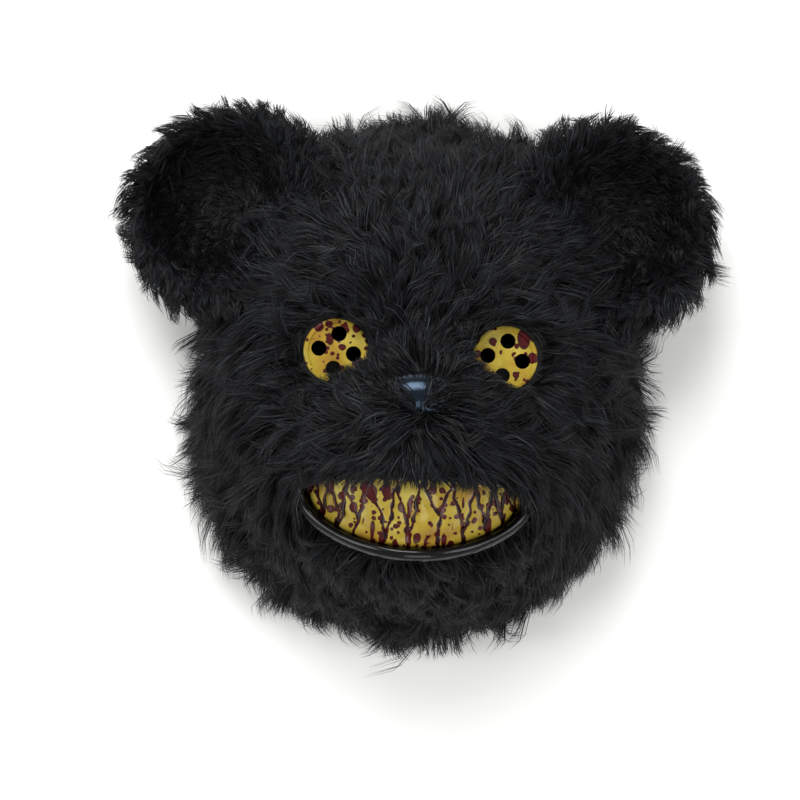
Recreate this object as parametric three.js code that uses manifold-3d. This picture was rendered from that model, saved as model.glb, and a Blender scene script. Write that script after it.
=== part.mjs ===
// A bear mask for fancy dress, in millimetres. A rigid moulded face shell carries a long-pile fur cover
// with two cupped plush ears, a glossy nose, two four-hole button eyes and a curved plate of teeth in a
// glossy lip. An elastic head strap is riveted inside. The mask lies on its rim: +Z is out of the face
// and +Y is towards the crown.
import * as THREE from "three";
import { mergeVertices } from "three/addons/utils/BufferGeometryUtils.js";
import Module from "manifold-3d";

const wasm = await Module();
wasm.setup();

// Face shell
const shellHalfWidth = 98;
const shellUp = 121; // from the middle of the face to the rim at the crown
const shellDown = 112; // and to the rim at the chin
const shellDepth = 88; // rim to forehead, without the snout
const shellWall = 2;
const faceMiddle = -4; // the middle of the face along Y
const rimSquareness = 2.2; // 2 is an ellipse, more is squarer
const domeRound = 2.4;
const domeEdge = 0.55;
const spokes = 34;
const rings = 10;
const ringCrowding = 1.7; // more puts the rings closer together at the steep rim

// Raised and sunk forms of the shell: place and half size as shares of the shell's half width and
// height, rise as a share of its depth. A form with a place across stands on both sides.
const forms = [
  { name: "snout", across: 0, up: -0.38, halfWidth: 0.7, halfHeight: 0.52, rise: 0.45 },
  { name: "bridge", across: 0, up: -0.02, halfWidth: 0.28, halfHeight: 0.3, rise: 0.08 },
  { name: "jaw", across: 0, up: -0.72, halfWidth: 0.5, halfHeight: 0.3, rise: 0.12 },
  { name: "brow", across: 0.36, up: 0.34, halfWidth: 0.34, halfHeight: 0.16, rise: 0.06 },
  { name: "cheek", across: 0.56, up: -0.3, halfWidth: 0.32, halfHeight: 0.42, rise: 0.06 },
];

// Fur cover
const coverGap = 0.3;
const pileThickness = 8; // backing and dense pile, without the locks
const hemHeight = 2.5; // the cover ends this far above the rim's resting plane
const pileZones = [
  { name: "chin", across: 0, up: -0.95, halfWidth: 0.8, halfHeight: 0.35, rise: 5 },
  { name: "cheeks", across: 0.95, up: -0.4, halfWidth: 0.5, halfHeight: 0.7, rise: 4 },
  { name: "snout", across: 0, up: -0.12, halfWidth: 0.6, halfHeight: 0.3, rise: -3 },
  { name: "crown", across: 0, up: 1, halfWidth: 0.9, halfHeight: 0.3, rise: -2 },
];
const lockLength = 27;
const lockWidth = 15;
const lockHeight = 6;
const lockSpacing = 28;
const lockRoot = 3; // how far a lock's root is sunk in the pile
const lockBack = 0.35; // how strongly the pile leans back towards the rim

// How the pile is combed: a stroke at a place on the face, as shares of the shell's half sizes, and
// the way it points, in degrees from +X towards +Y.
const strokes = [
  { across: 0, up: 0.95, points: 90 },
  { across: 0, up: 0.72, points: 90 },
  { across: -0.45, up: 0.75, points: 125 },
  { across: 0.45, up: 0.75, points: 55 },
  { across: -0.6, up: 0.45, points: 175 },
  { across: 0.6, up: 0.45, points: 5 },
  { across: -0.9, up: 0.2, points: 225 },
  { across: 0.9, up: 0.2, points: 315 },
  { across: 0, up: 0.35, points: 275 },
  { across: -0.35, up: 0.35, points: 235 },
  { across: 0.35, up: 0.35, points: 310 },
  { across: -0.35, up: 0, points: 195 },
  { across: 0.35, up: 0, points: 345 },
  { across: -0.7, up: -0.15, points: 225 },
  { across: 0.7, up: -0.15, points: 315 },
  { across: 0, up: -0.22, points: 270 },
  { across: -0.95, up: -0.5, points: 255 },
  { across: 0.95, up: -0.5, points: 285 },
  { across: -0.5, up: -0.8, points: 255 },
  { across: 0.5, up: -0.8, points: 285 },
  { across: 0, up: -0.95, points: 270 },
];

// Button eyes
const eyeAcross = 38.5;
const eyeUp = 15;
const eyeRadius = 15;
const eyeThickness = 3;
const eyeRim = 2.6; // width of the raised rim
const eyeRecess = 0.8; // how far the middle lies below the rim
const eyeHoleRadius = 3.5;
const eyeHoleCircle = 8; // radius of the circle through the four holes
const eyeSides = 20;
const eyeHoleTurn = -7; // degrees that the holes are turned
const eyeLift = 3; // the button's seat above the shell
const socketClearance = 1;
const socketWall = 2;
const socketShoulder = 3; // width of the ring that the button sits on
const socketFloor = 3;
const socketLip = 2; // the socket's wall above its floor

// Mouth
const mouthHalfWidth = 52;
const mouthTop = -37;
const mouthCorner = -45;
const mouthBottom = -73;
const mouthFullness = 2.1; // 2 is an elliptical lower edge, more is fuller
const mouthSteps = 12; // steps along each edge
const plateWall = 2;
const plateFlange = 4;
const lipWidth = 7;
const lipHeight = 5.5;

// Nose
const noseUp = -4;
const noseHalfWidth = 17;
const noseHalfHeight = 11;
const noseHalfDepth = 11;

// Ears
const earAcrossLeft = 91; // the soft ears don't sit quite alike
const earAcrossRight = 86;
const earUp = 79;
const earHeight = 36; // the middle of the ear above the resting plane
const earRadius = 50;
const earSides = 22;
const earTilt = 10; // degrees that its outer edge leans back
const earLockLength = 16;
const earLockWidth = 15;
const earLockHeight = 8;
const earLocks = 19;
const earGap = 0.4;
// The ear's section from the back's middle round the rim to the middle of the hollow, as shares of
// the ear's radius.
const earSection = [
  { out: 0, rise: -0.28 },
  { out: 0.5, rise: -0.24 },
  { out: 0.82, rise: -0.1 },
  { out: 0.97, rise: 0.05 },
  { out: 1, rise: 0.17 },
  { out: 0.93, rise: 0.3 },
  { out: 0.8, rise: 0.32 },
  { out: 0.64, rise: 0.2 },
  { out: 0.4, rise: 0.02 },
  { out: 0, rise: -0.06 },
];

// Head strap
const strapUp = 22;
const strapWidth = 20;
const strapThickness = 1.6;
const strapTab = 30; // height of the stretch that lies against the wall
const strapGap = 1.2;
const strapLie = 0.3; // its height above the resting plane
const strapBend = 9; // radius where it turns from the wall onto the plane
const rivetUp = 17; // height of the rivet
const rivetShank = 1.8;
const rivetHead = 4;
const rivetHeadHeight = 1.4;
const rivetFlare = 2.9;
const rivetClearance = 0.3;

const radians = THREE.MathUtils.degToRad;

// A repeatable number from 0 to 1 for each seed.
function chance(seed) {
  const wave = Math.sin(seed * 12.9898) * 43758.5453;
  return wave - Math.floor(wave);
}

const material = (color, roughness) => new THREE.MeshStandardMaterial({ color, roughness, metalness: 0 });
const blackPlastic = material(0x0c0d10, 0.25);
const blackFur = material(0x17181a, 0.95);
const yellowPlastic = material(0xcbb23f, 0.35);
const elastic = material(0x141414, 0.9);
const rivetMetal = material(0x8f8f8f, 0.4);

// Solids and meshes
function solidOf(geometry) {
  const bare = geometry.clone();
  bare.deleteAttribute("normal");
  bare.deleteAttribute("uv");
  const merged = mergeVertices(bare, 1e-4);
  return new wasm.Manifold(
    new wasm.Mesh({
      numProp: 3,
      vertProperties: new Float32Array(merged.attributes.position.array),
      triVerts: new Uint32Array(merged.index.array),
    }),
  );
}

function meshOf(name, solid, look) {
  const made = solid.getMesh();
  const geometry = new THREE.BufferGeometry();
  geometry.setAttribute("position", new THREE.BufferAttribute(made.vertProperties, 3));
  geometry.setIndex(new THREE.BufferAttribute(made.triVerts, 1));
  geometry.computeVertexNormals();
  const mesh = new THREE.Mesh(geometry, look);
  mesh.name = name;
  return mesh;
}

function gridGeometry(points, triangles) {
  const geometry = new THREE.BufferGeometry();
  const flat = points.flatMap((p) => [p.x, p.y, p.z]);
  geometry.setAttribute("position", new THREE.Float32BufferAttribute(flat, 3));
  geometry.setIndex(triangles);
  return geometry;
}

// A lathe solid about Z from rows of radius and height, from the axis to the axis.
function turned(profile, sides) {
  const points = profile.map(([radius, height]) => new THREE.Vector2(radius, height));
  return new THREE.LatheGeometry(points, sides).rotateX(Math.PI / 2);
}

// The shell's surface
const shellHalfHeight = (y) => (y > 0 ? shellUp : shellDown);

// 0 at the middle of the face and 1 on the rim.
function rimShare(x, y) {
  const across = Math.abs(x / shellHalfWidth) ** rimSquareness;
  const up = Math.abs(y / shellHalfHeight(y)) ** rimSquareness;
  return (across + up) ** (1 / rimSquareness);
}

// A smooth rise of height 1 in the middle of an oval and 0 at its edge.
function swell(x, y, form) {
  const across = (Math.abs(x) - form.across * shellHalfWidth) / (form.halfWidth * shellHalfWidth);
  const sideways = form.across === 0 ? x / (form.halfWidth * shellHalfWidth) : across;
  const up = (y - form.up * shellHalfHeight(form.up)) / (form.halfHeight * shellHalfHeight(form.up));
  const away = Math.hypot(sideways, up);
  return away < 1 ? (1 - away ** 2.6) ** 1.7 : 0;
}

function shellHeight(x, y) {
  const share = Math.min(1, rimShare(x, y));
  const dome = (1 - share ** domeRound) ** domeEdge;
  const raised = forms.reduce((sum, form) => sum + form.rise * swell(x, y, form), 0);
  return shellDepth * (dome + raised);
}

function shellNormal(x, y) {
  const step = 0.05;
  const inward = Math.min(1, 0.9985 / Math.max(rimShare(x, y), 1e-6));
  const [px, py] = [x * inward, y * inward];
  const slopeX = (shellHeight(px + step, py) - shellHeight(px - step, py)) / (2 * step);
  const slopeY = (shellHeight(px, py + step) - shellHeight(px, py - step)) / (2 * step);
  return new THREE.Vector3(-slopeX, -slopeY, 1).normalize();
}

function pileAt(x, y) {
  return pileZones.reduce((sum, zone) => sum + zone.rise * swell(x, y, zone), pileThickness);
}

// A point of the face at a distance outside the shell, which may be a function of its place.
function facePoint(x, y, outside, lowest = 0) {
  const normal = shellNormal(x, y);
  const onRim = rimShare(x, y) > 0.999;
  if (onRim) normal.setZ(0).normalize();
  const distance = typeof outside === "function" ? outside(x, y) : outside;
  const point = new THREE.Vector3(x, y, shellHeight(x, y)).addScaledVector(normal, distance);
  point.z = onRim ? lowest : Math.max(point.z, lowest + 0.2);
  point.y += faceMiddle;
  return point;
}

// Points of a whole skin, the middle first and then ring by ring to the rim.
function skin(outside, lowest = 0) {
  const points = [facePoint(0, 0, outside, lowest)];
  for (let ring = 1; ring <= rings; ring++) {
    const share = 1 - (1 - ring / rings) ** ringCrowding;
    for (let spoke = 0; spoke < spokes; spoke++) {
      const angle = (spoke / spokes) * 2 * Math.PI;
      const [c, s] = [Math.cos(angle), Math.sin(angle)];
      const across = Math.sign(c) * Math.abs(c) ** (2 / rimSquareness);
      const up = Math.sign(s) * Math.abs(s) ** (2 / rimSquareness);
      points.push(facePoint(share * across * shellHalfWidth, share * up * shellHalfHeight(s), outside, lowest));
    }
  }
  return points;
}

const ringStart = (ring) => 1 + (ring - 1) * spokes;

// Triangles of a skin whose points start at first. Turned over, they face inwards.
function skinTriangles(first, over) {
  const triangles = [];
  const add = (a, b, c) => triangles.push(...(over ? [a, c, b] : [a, b, c]).map((i) => first + i));
  for (let spoke = 0; spoke < spokes; spoke++) {
    const next = (spoke + 1) % spokes;
    add(0, 1 + spoke, 1 + next);
    for (let ring = 1; ring < rings; ring++) {
      const [near, far] = [ringStart(ring), ringStart(ring + 1)];
      add(near + spoke, far + spoke, far + next);
      add(near + spoke, far + next, near + next);
    }
  }
  return triangles;
}

// The wall between two skins.
function layer(inside, outside, lowest = 0) {
  const outer = skin(outside, lowest);
  const inner = skin(inside, lowest);
  const triangles = [...skinTriangles(0, false), ...skinTriangles(outer.length, true)];
  const [outerRim, innerRim] = [ringStart(rings), outer.length + ringStart(rings)];
  for (let spoke = 0; spoke < spokes; spoke++) {
    const next = (spoke + 1) % spokes;
    triangles.push(outerRim + spoke, innerRim + spoke, innerRim + next);
    triangles.push(outerRim + spoke, innerRim + next, outerRim + next);
  }
  return gridGeometry([...outer, ...inner], triangles);
}

// Everything under a skin, down to a plane below the rim.
function filled(outside) {
  const depth = -40;
  const outer = skin(outside);
  const triangles = skinTriangles(0, false);
  const rim = ringStart(rings);
  const foot = outer.length;
  const below = outer.slice(rim).map((p) => new THREE.Vector3(p.x, p.y, depth));
  const middle = foot + spokes;
  for (let spoke = 0; spoke < spokes; spoke++) {
    const next = (spoke + 1) % spokes;
    triangles.push(rim + spoke, foot + spoke, foot + next);
    triangles.push(rim + spoke, foot + next, rim + next);
    triangles.push(foot + spoke, middle, foot + next);
  }
  return gridGeometry([...outer, ...below, new THREE.Vector3(0, 0, depth)], triangles);
}

const underShell = (outside) => solidOf(filled(outside));
const coverOutside = (x, y) => coverGap + pileAt(x, y);

// The mouth's outline, grown by a distance, as corners in order from the right corner over the top.
function mouthOutline(grown) {
  const corners = [];
  const halfWidth = mouthHalfWidth + grown;
  const middle = mouthCorner;
  const edges = [
    { way: 1, height: mouthTop - mouthCorner + grown, fullness: mouthFullness },
    { way: -1, height: mouthCorner - mouthBottom + grown, fullness: mouthFullness },
  ];
  for (const { way, height, fullness } of edges) {
    for (let step = 0; step < mouthSteps; step++) {
      const angle = (step / mouthSteps) * Math.PI;
      const across = Math.cos(angle) * way;
      const up = Math.sin(angle) ** (2 / fullness) * way;
      corners.push(new THREE.Vector2(across * halfWidth, middle + up * height));
    }
  }
  return corners;
}

function mouthPrism(grown) {
  const corners = mouthOutline(grown).map((p) => new THREE.Vector2(p.x, p.y + faceMiddle));
  const reach = 3 * shellDepth;
  return new THREE.ExtrudeGeometry(new THREE.Shape(corners), { depth: reach, bevelEnabled: false, steps: 1 });
}

// Eyes
const eyeSeat = shellHeight(eyeAcross, eyeUp) + eyeLift;
const socketInside = eyeRadius + socketClearance;
const socketOutside = socketInside + socketWall;
const socketHole = socketInside - socketShoulder;

function eyeCylinder(side, radius, bottom, top) {
  const cylinder = new THREE.CylinderGeometry(radius, radius, top - bottom, eyeSides).rotateX(Math.PI / 2);
  return solidOf(cylinder.translate(side * eyeAcross, eyeUp + faceMiddle, (top + bottom) / 2));
}

// A flat-floored cup for the button, with a wall that reaches the shell all round.
function withSocket(shell, side) {
  const deep = eyeSeat - 6 * socketWall;
  const high = 2 * shellDepth;
  const collar = eyeCylinder(side, socketOutside, deep, eyeSeat + socketLip);
  const chimney = eyeCylinder(side, socketOutside, deep, high).intersect(underShell(-shellWall / 2));
  const bore = eyeCylinder(side, socketInside, eyeSeat, high);
  const under = eyeCylinder(side, socketInside, deep - 1, eyeSeat - socketFloor);
  const sight = eyeCylinder(side, socketHole, 0, high);
  return shell.add(collar.add(chimney)).subtract(bore).subtract(under).subtract(sight);
}

function makeEye(side) {
  const middle = eyeRadius - eyeRim;
  const edge = 0.7;
  const profile = [
    [0, 0],
    [eyeRadius - edge, 0],
    [eyeRadius, edge],
    [eyeRadius, eyeThickness - edge],
    [eyeRadius - edge, eyeThickness],
    [middle + edge, eyeThickness],
    [middle, eyeThickness - eyeRecess],
    [0, eyeThickness - eyeRecess / 2],
  ];
  let button = solidOf(turned(profile, eyeSides));
  for (let hole = 0; hole < 4; hole++) {
    const angle = radians(eyeHoleTurn + hole * 90);
    const drill = new THREE.CylinderGeometry(eyeHoleRadius, eyeHoleRadius, 4 * eyeThickness, 10);
    drill.rotateX(Math.PI / 2);
    drill.translate(Math.cos(angle) * eyeHoleCircle, Math.sin(angle) * eyeHoleCircle, 0);
    button = button.subtract(solidOf(drill));
  }
  const eye = meshOf(side < 0 ? "eye_left" : "eye_right", button, yellowPlastic);
  eye.position.set(side * eyeAcross, eyeUp + faceMiddle, eyeSeat + coverGap);
  return eye;
}

// Head strap and its rivets. The strap lies in the plane across the face.
const domeShare = (height) => (1 - (height / shellDepth) ** (1 / domeEdge)) ** (1 / domeRound);

// Half the width between the shell's inner walls, at a height and the strap's narrower edge.
function wallInside(height) {
  const up = Math.abs((strapUp + strapWidth / 2) / shellUp) ** rimSquareness;
  const outer = shellHalfWidth * (domeShare(height) ** rimSquareness - up) ** (1 / rimSquareness);
  return outer - shellWall;
}

function strapRoute(inset) {
  const heights = [strapTab, (strapTab + rivetUp) / 2, rivetUp, strapBend];
  const side = heights.map((height) => new THREE.Vector2(wallInside(height) - strapGap - inset, height));
  const foot = wallInside(strapBend) - strapGap;
  for (let step = 1; step <= 4; step++) {
    const angle = (step / 4) * (Math.PI / 2);
    const radius = strapBend - strapLie - inset;
    const across = foot - (strapBend - strapLie) + Math.cos(angle) * radius;
    side.push(new THREE.Vector2(across, strapBend - Math.sin(angle) * radius));
  }
  return side;
}

function makeStrap() {
  const [outer, inner] = [strapRoute(0), strapRoute(strapThickness)];
  const mirrored = (side) => side.map((p) => new THREE.Vector2(-p.x, p.y)).reverse();
  const corners = [...outer, ...mirrored(outer), ...mirrored(inner).reverse(), ...inner.reverse()];
  const band = new THREE.ExtrudeGeometry(new THREE.Shape(corners), {
    depth: strapWidth,
    bevelEnabled: false,
    steps: 1,
  });
  band.rotateX(Math.PI / 2).translate(0, strapWidth / 2, 0);
  return solidOf(band);
}

// A rivet along +Z, its head's top at 0 and its tail flush with the shell's outside.
function rivetGeometry(grown) {
  const inner = strapThickness + strapGap + 1;
  const tail = inner + shellWall;
  return turned(
    [
      [0, -rivetHeadHeight - grown],
      [rivetHead * 0.7 + grown, -rivetHeadHeight - grown],
      [rivetHead + grown, -0.3],
      [rivetHead + grown, grown],
      [rivetShank + grown, grown],
      [rivetShank + grown, inner + shellWall * 0.3],
      [rivetFlare + grown, tail + grown],
      [0, tail + grown],
    ],
    10,
  );
}

function rivetPlace(side) {
  const lower = wallInside(rivetUp - 4);
  const upper = wallInside(rivetUp + 4);
  const place = new THREE.Group();
  const lean = Math.atan2(lower - upper, 8);
  place.position.set(side * (wallInside(rivetUp) - strapGap - strapThickness - 0.5), 0, rivetUp);
  place.rotation.set(0, side * (Math.PI / 2 - lean), 0);
  return place;
}

const strapMiddle = strapUp + faceMiddle;
function rivetCut(side) {
  const place = rivetPlace(side);
  place.updateMatrix();
  return rivetGeometry(rivetClearance).applyMatrix4(place.matrix);
}

// Fur
function combedWay(x, y) {
  const sum = new THREE.Vector2();
  for (const stroke of strokes) {
    const [sx, sy] = [stroke.across * shellHalfWidth, stroke.up * shellHalfHeight(stroke.up)];
    const weight = 1 / (1 + ((x - sx) ** 2 + (y - sy) ** 2) ** 1.5);
    sum.x += weight * Math.cos(radians(stroke.points));
    sum.y += weight * Math.sin(radians(stroke.points));
  }
  return sum.normalize();
}

// A tapering, bent tongue of pile: two sections of three corners and a tip.
function lockSolid(root, along, out, length, width, height) {
  const across = new THREE.Vector3().crossVectors(out, along).normalize();
  const at = (share, lift) =>
    root.clone().addScaledVector(along, share * length).addScaledVector(out, lift);
  const section = (share, lift, wide, high) => {
    const middle = at(share, lift);
    return [
      middle.clone().addScaledVector(across, -wide / 2),
      middle.clone().addScaledVector(across, wide / 2),
      middle.clone().addScaledVector(out, high),
    ];
  };
  const points = [
    ...section(0, -lockRoot, width, lockRoot + height * 0.3),
    ...section(0.5, -lockRoot * 0.4, width * 0.85, lockRoot * 0.4 + height),
    at(1, height * 0.55),
  ];
  const triangles = [0, 2, 1];
  for (let corner = 0; corner < 3; corner++) {
    const next = (corner + 1) % 3;
    triangles.push(corner, next, 3 + next, corner, 3 + next, 3 + corner, 3 + corner, 3 + next, 6);
  }
  const solid = solidOf(gridGeometry(points, triangles));
  return solid.volume() > 0 ? solid : solidOf(gridGeometry(points, [...triangles].reverse()));
}

const earAcross = (side) => (side < 0 ? earAcrossLeft : earAcrossRight);

function onEar(point, margin) {
  const across = Math.abs(point.x) - earAcross(point.x);
  const level = Math.abs(point.z - earHeight) < earRadius * 0.35 + margin;
  return level && Math.hypot(across, point.y - earUp - faceMiddle) < earRadius + margin;
}

// Whether a lock from here would hang over an eye, the nose or the mouth.
function clearOfFeatures(x, y) {
  const eye = Math.hypot(Math.abs(x) - eyeAcross, y - eyeUp) > socketOutside + 4;
  const nose = Math.hypot(x / noseHalfWidth, (y - noseUp) / noseHalfHeight) > 1.4;
  const across = x / (mouthHalfWidth + lipWidth + 3);
  const up = (y - mouthCorner) / (mouthCorner - mouthBottom + lipWidth + 3);
  return eye && nose && Math.hypot(across, up) > 1;
}

function makeCover() {
  let cover = solidOf(layer(coverGap, coverOutside, hemHeight));
  const locks = [];
  let seed = 1;
  const rows = [0.28, 0.42, 0.56, 0.7, 0.83, 0.93, 0.985];
  for (const share of rows) {
    const count = Math.round((2 * Math.PI * share * shellHalfWidth * 1.1) / lockSpacing);
    for (let turn = 0; turn < count; turn++) {
      seed += 1;
      const angle = ((turn + chance(seed) * 0.6) / count) * 2 * Math.PI;
      const [x, y] = [
        share * Math.cos(angle) * shellHalfWidth,
        share * Math.sin(angle) * shellHalfHeight(Math.sin(angle)),
      ];
      const way = combedWay(x, y);
      const length = lockLength * (0.75 + 0.4 * chance(seed + 500));
      if (!clearOfFeatures(x, y) || !clearOfFeatures(x + way.x * length, y + way.y * length)) continue;
      const out = shellNormal(x, y);
      const along = new THREE.Vector3(way.x, way.y, -lockBack);
      along.addScaledVector(out, -along.dot(out)).normalize();
      const root = facePoint(x, y, coverOutside, hemHeight);
      const tip = root.clone().addScaledVector(along, length).addScaledVector(out, lockHeight);
      if (onEar(root, 6) || onEar(tip, 8) || tip.z < hemHeight || root.z < hemHeight + lockRoot) continue;
      locks.push(lockSolid(root, along, out, length, lockWidth, lockHeight));
    }
  }
  cover = wasm.Manifold.union([cover, ...locks]);
  const faceOpenings = [
    eyeCylinder(-1, socketOutside + coverGap, 0, 3 * shellDepth),
    eyeCylinder(1, socketOutside + coverGap, 0, 3 * shellDepth),
    solidOf(mouthPrism(lipWidth / 2)),
    lipBead(coverGap + 0.4),
    solidOf(noseGeometry(1)),
    underShell(coverGap),
  ];
  return cover.subtract(wasm.Manifold.union(faceOpenings));
}

// Nose
function noseGeometry(grown) {
  const ball = new THREE.SphereGeometry(1, 16, 10).rotateX(Math.PI / 2);
  ball.scale(noseHalfWidth + grown, noseHalfHeight + grown, noseHalfDepth + grown);
  return ball.translate(0, noseUp + faceMiddle, shellHeight(0, noseUp) + noseHalfDepth * 0.35);
}

// The lip is a bead round the mouth, rounded outside and flat against the shell.
function lipBead(grown) {
  const outline = mouthOutline(0);
  const section = [
    [-0.5, -0.5],
    [0.5, -0.5],
    [0.5, 0.4],
    [0.25, 0.9],
    [-0.25, 0.9],
    [-0.5, 0.4],
  ];
  const place = (p) => facePoint(p.x, p.y, 0);
  const points = outline.flatMap((corner, i) => {
    const before = place(outline.at(i - 1));
    const after = place(outline[(i + 1) % outline.length]);
    const along = after.sub(before).normalize();
    const out = shellNormal(corner.x, corner.y);
    const away = new THREE.Vector3().crossVectors(along, out).normalize();
    return section.map(([wide, high]) =>
      place(corner)
        .addScaledVector(away, wide * (lipWidth + 2 * grown))
        .addScaledVector(out, high * (lipHeight + grown)),
    );
  });
  const triangles = [];
  const [stations, corners] = [outline.length, section.length];
  for (let station = 0; station < stations; station++) {
    for (let corner = 0; corner < corners; corner++) {
      const [a, b] = [station * corners + corner, station * corners + ((corner + 1) % corners)];
      const ahead = ((station + 1) % stations) * corners;
      const [c, d] = [ahead + ((corner + 1) % corners), ahead + corner];
      triangles.push(a, b, c, a, c, d);
    }
  }
  const bead = solidOf(gridGeometry(points, triangles));
  return bead.volume() > 0 ? bead : solidOf(gridGeometry(points, triangles.reverse()));
}

// Ears
function earPlace(side) {
  const place = new THREE.Group();
  place.position.set(side * earAcross(side), earUp + faceMiddle, earHeight);
  const outward = new THREE.Vector3(side * earAcross(side), earUp, 0).normalize();
  const hinge = new THREE.Vector3(-outward.y, outward.x, 0);
  place.quaternion.setFromAxisAngle(hinge, radians(earTilt));
  place.updateMatrix();
  return place;
}

function makeEar(side) {
  const place = earPlace(side);
  const profile = earSection.map(({ out, rise }) => [out * earRadius, rise * earRadius]);
  const parts = [solidOf(turned(profile, earSides))];
  for (let turn = 0; turn < earLocks; turn++) {
    const angle = ((turn + 0.5 * chance(turn + 40)) / earLocks) * 2 * Math.PI;
    const outward = new THREE.Vector3(Math.cos(angle), Math.sin(angle), 0);
    const facing = new THREE.Vector3(0, 0, 1).addScaledVector(outward, 0.4).normalize();
    const along = outward.clone().addScaledVector(facing, -outward.dot(facing)).normalize();
    const root = outward.clone().multiplyScalar(earRadius * 0.86).setZ(earRadius * 0.28);
    const length = earLockLength * (0.8 + 0.4 * chance(turn + 90));
    parts.push(lockSolid(root, along, facing, length, earLockWidth, earLockHeight));
  }
  const head = filled((x, y) => coverOutside(x, y) + earGap).applyMatrix4(place.matrix.clone().invert());
  const ear = wasm.Manifold.union(parts).subtract(solidOf(head));
  place.add(meshOf(side < 0 ? "ear_left" : "ear_right", ear, blackFur));
  return place;
}

// Assembly
function makeShell() {
  let shell = solidOf(layer(-shellWall, 0));
  shell = withSocket(withSocket(shell, -1), 1);
  shell = shell.subtract(solidOf(mouthPrism(0)));
  for (const side of [-1, 1]) {
    shell = shell.subtract(solidOf(rivetCut(side).translate(0, strapMiddle, 0)));
  }
  return shell;
}

function makePlate() {
  const outside = -shellWall - coverGap;
  return solidOf(layer(outside - plateWall, outside)).intersect(solidOf(mouthPrism(plateFlange)));
}

function makeNose() {
  return solidOf(noseGeometry(0)).subtract(underShell(coverGap));
}

const mask = new THREE.Group();
mask.add(meshOf("shell", makeShell(), blackPlastic));
mask.add(meshOf("fur_cover", makeCover(), blackFur));
mask.add(meshOf("teeth_plate", makePlate(), yellowPlastic));
mask.add(meshOf("lip", lipBead(0).subtract(underShell(coverGap)), blackPlastic));
mask.add(meshOf("nose", makeNose(), blackPlastic));

const harness = new THREE.Group();
harness.position.y = strapMiddle;
let strap = makeStrap();
for (const side of [-1, 1]) {
  strap = strap.subtract(solidOf(rivetCut(side)));
  const rivet = rivetPlace(side);
  const name = side < 0 ? "rivet_left" : "rivet_right";
  rivet.add(meshOf(name, solidOf(rivetGeometry(0)), rivetMetal));
  harness.add(rivet);
  mask.add(makeEye(side));
  mask.add(makeEar(side));
}
harness.add(meshOf("head_strap", strap, elastic));
mask.add(harness);

export default mask;
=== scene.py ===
import math

import bmesh
import bpy
import numpy as np
from mathutils import Matrix, Vector
from mathutils.bvhtree import BVHTree
from mathutils.kdtree import KDTree


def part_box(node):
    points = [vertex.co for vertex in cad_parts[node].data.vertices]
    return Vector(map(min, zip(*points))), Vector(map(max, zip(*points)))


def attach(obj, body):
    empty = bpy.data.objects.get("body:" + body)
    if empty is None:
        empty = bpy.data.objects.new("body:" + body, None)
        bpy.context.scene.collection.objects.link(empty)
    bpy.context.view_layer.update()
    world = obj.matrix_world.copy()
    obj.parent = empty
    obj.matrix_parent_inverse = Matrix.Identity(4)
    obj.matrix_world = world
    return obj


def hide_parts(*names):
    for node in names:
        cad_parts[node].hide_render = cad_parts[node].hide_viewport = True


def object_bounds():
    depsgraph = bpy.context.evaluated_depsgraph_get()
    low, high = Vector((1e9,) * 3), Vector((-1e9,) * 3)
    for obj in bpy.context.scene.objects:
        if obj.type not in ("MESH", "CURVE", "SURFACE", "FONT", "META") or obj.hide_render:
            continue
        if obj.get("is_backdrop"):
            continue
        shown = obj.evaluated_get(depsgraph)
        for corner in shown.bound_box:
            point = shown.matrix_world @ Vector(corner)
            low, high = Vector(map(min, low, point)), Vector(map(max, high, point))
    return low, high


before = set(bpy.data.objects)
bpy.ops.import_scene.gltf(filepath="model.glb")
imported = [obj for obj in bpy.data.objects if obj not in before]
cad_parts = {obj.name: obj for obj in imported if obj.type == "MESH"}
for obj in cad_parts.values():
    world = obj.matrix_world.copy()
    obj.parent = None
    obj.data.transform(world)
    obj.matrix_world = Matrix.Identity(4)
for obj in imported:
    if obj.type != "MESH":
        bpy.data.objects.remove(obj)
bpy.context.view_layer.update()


# Camera. It looks straight into the face, so it hangs over the mask, which lies on its rear rim. It is
# rolled a little, because the mask is seen slightly askew.
MM = 0.001
camera_height = 960 * MM
camera_over = (-8.5 * MM, -10 * MM)
camera_roll = math.radians(2.5)
seen_width = 376 * MM
seen_height = 60 * MM

camera = bpy.data.objects.new("camera", bpy.data.cameras.new("camera"))
camera.data.sensor_width = 36
camera.data.lens = 36 * (camera_height - seen_height) / seen_width
camera.location = (*camera_over, camera_height)
camera.rotation_euler = (0, 0, camera_roll)
bpy.context.collection.objects.link(camera)
bpy.context.scene.camera = camera


# Face shell. The real one is black ABS sheet, vacuum-formed over a bear's face and trimmed flat at the
# rear, which leaves an even sheen with a faint orange-peel ripple.
shell_colour = "#0f1013"
shell_ripple = 2.2 * MM


def linear(colour):
    """An sRGB hex colour as linear red, green, blue and 1."""
    parts = [int(colour[i : i + 2], 16) / 255 for i in (1, 3, 5)]
    return [c / 12.92 if c <= 0.04045 else ((c + 0.055) / 1.055) ** 2.4 for c in parts] + [1]


def new_material(name):
    """A node material with only its output, and its tree."""
    material = bpy.data.materials.new(name)
    material.use_nodes = True
    tree = material.node_tree
    tree.nodes.clear()
    add(tree, "OutputMaterial")
    return material, tree


def add(tree, kind, links=None, **settings):
    """A shader node. A setting is a property or an input's value, and links gives inputs by name."""
    node = tree.nodes.new("ShaderNode" + kind)
    for key, value in settings.items():
        if hasattr(node, key):
            setattr(node, key, value)
        else:
            socket(node.inputs, key.replace("_", " ")).default_value = value
    for name, source in (links or {}).items():
        tree.links.new(source, socket(node.inputs, name))
    return node


def socket(sockets, name):
    """A node's socket by its name, or the one in use where several share a name."""
    return next(s for s in sockets if s.name == name and s.enabled)


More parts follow.
